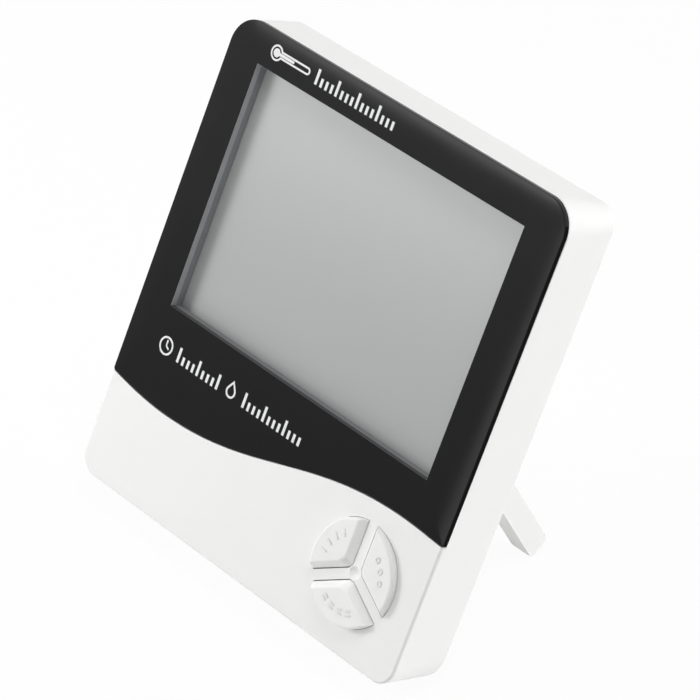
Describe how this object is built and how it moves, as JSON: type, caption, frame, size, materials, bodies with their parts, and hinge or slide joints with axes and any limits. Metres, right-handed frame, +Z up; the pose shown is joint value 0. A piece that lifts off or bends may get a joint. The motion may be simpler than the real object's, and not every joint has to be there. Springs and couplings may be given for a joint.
{
  "type": "digital thermo-hygrometer",
  "caption": "Leaning desk clock and thermo-hygrometer: black-faced white case, large display window, round key cluster, folding stand and battery bay.",
  "frame": {"origin": "on the table under the middle of the standing clock's box", "axes": "+X to the right across the face, +Y from the face to the back along the table, +Z up"},
  "size_m": [0.1, 0.0634, 0.1027],
  "materials": {
    "white_plastic": "satin",
    "key_plastic": "satin",
    "black_gloss": "gloss",
    "seal_foam": "matt",
    "display_film": "satin",
    "display_glass": "polished",
    "reflector_film": "satin",
    "contact_rubber": "matt",
    "board_green": "satin",
    "epoxy": "gloss",
    "capacitor_sleeve": "gloss",
    "switch_black": "matt",
    "sensor_cream": "matt",
    "cell_jacket": "satin",
    "steel": "satin",
    "brass": "satin",
    "ceramic": "matt"
  },
  "bodies": {
    "case": {"front_case": "white_plastic", "front_panel": "black_gloss", "window_seal": "seal_foam", "lcd_front_film": "display_film", "lcd_front_glass": "display_glass", "lcd_rear_glass": "display_glass", "lcd_reflector": "reflector_film", "contact_strip": "contact_rubber", "upper_left_key_switch": "switch_black", "right_key_switch": "switch_black", "lower_key_switch": "switch_black", "unit_key_switch": "switch_black", "reset_key_switch": "switch_black", "circuit_board": "board_green", "board_screw_1": "steel", "board_screw_2": "steel", "board_screw_3": "steel", "board_screw_4": "steel", "board_screw_5": "steel", "board_screw_6": "steel", "driver_chip": "epoxy", "timing_crystal": "steel", "capacitor": "capacitor_sleeve", "humidity_sensor": "sensor_cream", "temperature_sensor": "epoxy", "rear_case": "white_plastic", "case_screw_1": "steel", "case_screw_2": "steel", "case_screw_3": "steel", "case_screw_4": "steel", "sounder_disc": "brass", "sounder_ceramic": "ceramic", "battery": "cell_jacket", "spring_plate": "steel", "nub_plate": "steel", "battery_spring": "steel"},
    "upper_left_key": {"upper_left_key": "key_plastic", "upper_left_key_plunger": "switch_black"},
    "right_key": {"right_key": "key_plastic", "right_key_plunger": "switch_black"},
    "lower_key": {"lower_key": "key_plastic", "lower_key_plunger": "switch_black"},
    "unit_key": {"unit_key": "key_plastic", "unit_key_plunger": "switch_black"},
    "reset_key": {"reset_key": "key_plastic", "reset_key_plunger": "switch_black"},
    "battery_door": {"battery_door": "white_plastic"},
    "stand": {"stand": "white_plastic"}
  },
  "joints": [
    {"name": "stand_hinge", "type": "hinge", "parent": "case", "child": "stand", "pos_m": [0, 0.00617, 0.0435], "axis": [1, 0, 0], "range_deg": [-54.3, 0]},
    {"name": "door_hinge", "type": "hinge", "parent": "case", "child": "battery_door", "pos_m": [0, -0.00144, 0.02278], "axis": [-1, 0, 0], "range_deg": [0, 60]},
    {"name": "upper_left_key_push", "type": "slide", "parent": "case", "child": "upper_left_key", "axis": [0, 0.8884, -0.4591], "range_m": [0, 0.0006], "stiffness_N_per_m": 2500, "springref_m": -0.0002},
    {"name": "right_key_push", "type": "slide", "parent": "case", "child": "right_key", "axis": [0, 0.8884, -0.4591], "range_m": [0, 0.0006], "stiffness_N_per_m": 2500, "springref_m": -0.0002},
    {"name": "lower_key_push", "type": "slide", "parent": "case", "child": "lower_key", "axis": [0, 0.8884, -0.4591], "range_m": [0, 0.0006], "stiffness_N_per_m": 2500, "springref_m": -0.0002},
    {"name": "unit_key_push", "type": "slide", "parent": "case", "child": "unit_key", "axis": [0, -0.8884, 0.4591], "range_m": [0, 0.0006], "stiffness_N_per_m": 2500, "springref_m": -0.0002},
    {"name": "reset_key_push", "type": "slide", "parent": "case", "child": "reset_key", "axis": [0, -0.8884, 0.4591], "range_m": [0, 0.0006], "stiffness_N_per_m": 2500, "springref_m": -0.0002}
  ]
}
